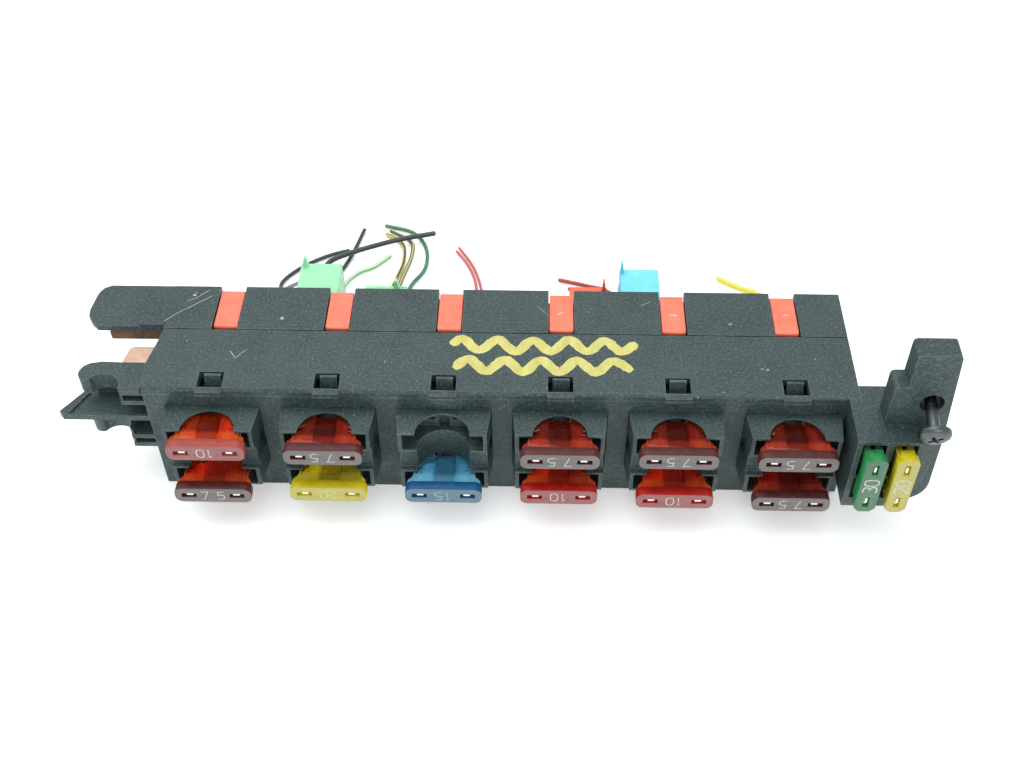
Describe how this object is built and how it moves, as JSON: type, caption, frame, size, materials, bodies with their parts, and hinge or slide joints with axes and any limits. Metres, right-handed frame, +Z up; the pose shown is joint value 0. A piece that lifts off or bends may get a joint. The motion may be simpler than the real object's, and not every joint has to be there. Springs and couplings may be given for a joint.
{
  "type": "fuse box panel",
  "caption": "Vehicle fuse panel: a row of blade fuse sockets under a flat cover, with rear wire connectors, slide locks and a screw plate.",
  "frame": {"origin": "centre of the housing's flat base, in the middle of the row of columns", "axes": "+X along the row of fuse columns, +Y from the fuses towards the wire connectors, +Z up, out of the base"},
  "size_m": [0.2177, 0.1238, 0.0594],
  "materials": {
    "black_plastic": "moulded, fine grain, light scuffs",
    "tinned_metal": "tinned",
    "copper": "dull copper, darker on the edges",
    "lock_plastic": "satin red-orange plastic",
    "screw_steel": "blackened steel",
    "green_connector": "mint green plastic",
    "black_connector": "black plastic",
    "red_connector": "red plastic",
    "blue_connector": "light blue plastic",
    "black_wire": "pvc insulation",
    "light_green_wire": "pvc insulation with a pale stripe",
    "yellow_black_wire": "pvc insulation, dark and yellow",
    "dark_green_wire": "pvc insulation",
    "red_wire": "pvc insulation",
    "yellow_wire": "pvc insulation",
    "yellow_fuse": "clear yellow plastic",
    "blue_fuse": "clear blue plastic",
    "green_fuse": "clear green plastic",
    "red_fuse": "clear red plastic"
  },
  "bodies": {
    "panel": {"housing": "black_plastic", "top_cover": "black_plastic", "connector_rail": "black_plastic", "fuse_holder_1": "black_plastic", "fuse_holder_2": "black_plastic", "fuse_holder_3": "black_plastic", "fuse_holder_4": "black_plastic", "fuse_holder_5": "black_plastic", "fuse_holder_6": "black_plastic", "terminals": "tinned_metal", "contact_pins": "tinned_metal", "busbar_upper": "copper", "busbar_lower": "copper"},
    "lock_1_bar": {"lock_1": "lock_plastic"},
    "lock_2_bar": {"lock_2": "lock_plastic"},
    "lock_3_bar": {"lock_3": "lock_plastic"},
    "lock_4_bar": {"lock_4": "lock_plastic"},
    "lock_5_bar": {"lock_5": "lock_plastic"},
    "lock_6_bar": {"lock_6": "lock_plastic"},
    "fuse_upper_1_unit": {"fuse_upper_1": "red_fuse", "element_upper_1": "tinned_metal"},
    "fuse_upper_2_unit": {"fuse_upper_2": "red_fuse", "element_upper_2": "tinned_metal"},
    "fuse_upper_4_unit": {"fuse_upper_4": "red_fuse", "element_upper_4": "tinned_metal"},
    "fuse_upper_5_unit": {"fuse_upper_5": "red_fuse", "element_upper_5": "tinned_metal"},
    "fuse_upper_6_unit": {"fuse_upper_6": "red_fuse", "element_upper_6": "tinned_metal"},
    "fuse_lower_1_unit": {"fuse_lower_1": "red_fuse", "element_lower_1": "tinned_metal"},
    "fuse_lower_2_unit": {"fuse_lower_2": "yellow_fuse", "element_lower_2": "tinned_metal"},
    "fuse_lower_3_unit": {"fuse_lower_3": "blue_fuse", "element_lower_3": "tinned_metal"},
    "fuse_lower_4_unit": {"fuse_lower_4": "red_fuse", "element_lower_4": "tinned_metal"},
    "fuse_lower_5_unit": {"fuse_lower_5": "red_fuse", "element_lower_5": "tinned_metal"},
    "fuse_lower_6_unit": {"fuse_lower_6": "red_fuse", "element_lower_6": "tinned_metal"},
    "fuse_side_1_unit": {"fuse_side_1": "green_fuse", "element_side_1": "tinned_metal"},
    "fuse_side_2_unit": {"fuse_side_2": "yellow_fuse", "element_side_2": "tinned_metal"},
    "loose_screw": {"screw": "screw_steel"},
    "connector_green_1_plug": {"connector_green_1": "green_connector", "wires_black": "black_wire", "wire_green_white": "light_green_wire"},
    "connector_green_2_plug": {"connector_green_2": "green_connector", "wires_yellow_black": "yellow_black_wire", "wire_dark_green": "dark_green_wire"},
    "connector_black_1_plug": {"connector_black_1": "black_connector", "wires_red_fine": "red_wire"},
    "connector_red_plug": {"connector_red": "red_connector", "wires_red": "red_wire"},
    "connector_blue_plug": {"connector_blue": "blue_connector"},
    "connector_black_2_plug": {"connector_black_2": "black_connector", "wire_yellow": "yellow_wire"}
  },
  "joints": [
    {"name": "lock_1_slide", "type": "slide", "parent": "panel", "child": "lock_1_bar", "axis": [0, 1, 0], "range_m": [0, 0.008]},
    {"name": "lock_2_slide", "type": "slide", "parent": "panel", "child": "lock_2_bar", "axis": [0, 1, 0], "range_m": [0, 0.008]},
    {"name": "lock_3_slide", "type": "slide", "parent": "panel", "child": "lock_3_bar", "axis": [0, 1, 0], "range_m": [0, 0.008]},
    {"name": "lock_4_slide", "type": "slide", "parent": "panel", "child": "lock_4_bar", "axis": [0, 1, 0], "range_m": [0, 0.008]},
    {"name": "lock_5_slide", "type": "slide", "parent": "panel", "child": "lock_5_bar", "axis": [0, 1, 0], "range_m": [0, 0.008]},
    {"name": "lock_6_slide", "type": "slide", "parent": "panel", "child": "lock_6_bar", "axis": [0, 1, 0], "range_m": [0, 0.008]},
    {"name": "fuse_upper_1_pull", "type": "slide", "parent": "panel", "child": "fuse_upper_1_unit", "axis": [0, -1, 0], "range_m": [0, 0.02]},
    {"name": "fuse_upper_2_pull", "type": "slide", "parent": "panel", "child": "fuse_upper_2_unit", "axis": [0, -1, 0], "range_m": [0, 0.02]},
    {"name": "fuse_upper_4_pull", "type": "slide", "parent": "panel", "child": "fuse_upper_4_unit", "axis": [0, -1, 0], "range_m": [0, 0.02]},
    {"name": "fuse_upper_5_pull", "type": "slide", "parent": "panel", "child": "fuse_upper_5_unit", "axis": [0, -1, 0], "range_m": [0, 0.02]},
    {"name": "fuse_upper_6_pull", "type": "slide", "parent": "panel", "child": "fuse_upper_6_unit", "axis": [0, -1, 0], "range_m": [0, 0.02]},
    {"name": "fuse_lower_1_pull", "type": "slide", "parent": "panel", "child": "fuse_lower_1_unit", "axis": [0, -1, 0], "range_m": [0, 0.02]},
    {"name": "fuse_lower_2_pull", "type": "slide", "parent": "panel", "child": "fuse_lower_2_unit", "axis": [0, -1, 0], "range_m": [0, 0.02]},
    {"name": "fuse_lower_3_pull", "type": "slide", "parent": "panel", "child": "fuse_lower_3_unit", "axis": [0, -1, 0], "range_m": [0, 0.02]},
    {"name": "fuse_lower_4_pull", "type": "slide", "parent": "panel", "child": "fuse_lower_4_unit", "axis": [0, -1, 0], "range_m": [0, 0.02]},
    {"name": "fuse_lower_5_pull", "type": "slide", "parent": "panel", "child": "fuse_lower_5_unit", "axis": [0, -1, 0], "range_m": [0, 0.02]},
    {"name": "fuse_lower_6_pull", "type": "slide", "parent": "panel", "child": "fuse_lower_6_unit", "axis": [0, -1, 0], "range_m": [0, 0.02]},
    {"name": "fuse_side_1_pull", "type": "slide", "parent": "panel", "child": "fuse_side_1_unit", "axis": [0, -1, 0], "range_m": [0, 0.02]},
    {"name": "fuse_side_2_pull", "type": "slide", "parent": "panel", "child": "fuse_side_2_unit", "axis": [0, -1, 0], "range_m": [0, 0.02]},
    {"name": "screw_slide", "type": "slide", "parent": "panel", "child": "loose_screw", "axis": [0, 0.9563, 0.2924], "range_m": [-0.006, 0.005]},
    {"name": "connector_green_1_unplug", "type": "slide", "parent": "panel", "child": "connector_green_1_plug", "axis": [0, 1, 0], "range_m": [0, 0.006]},
    {"name": "connector_green_2_unplug", "type": "slide", "parent": "panel", "child": "connector_green_2_plug", "axis": [0, 1, 0], "range_m": [0, 0.006]},
    {"name": "connector_black_1_unplug", "type": "slide", "parent": "panel", "child": "connector_black_1_plug", "axis": [0, 1, 0], "range_m": [0, 0.006]},
    {"name": "connector_red_unplug", "type": "slide", "parent": "panel", "child": "connector_red_plug", "axis": [0, 1, 0], "range_m": [0, 0.006]},
    {"name": "connector_blue_unplug", "type": "slide", "parent": "panel", "child": "connector_blue_plug", "axis": [0, 1, 0], "range_m": [0, 0.006]},
    {"name": "connector_black_2_unplug", "type": "slide", "parent": "panel", "child": "connector_black_2_plug", "axis": [0, 1, 0], "range_m": [0, 0.006]}
  ]
}
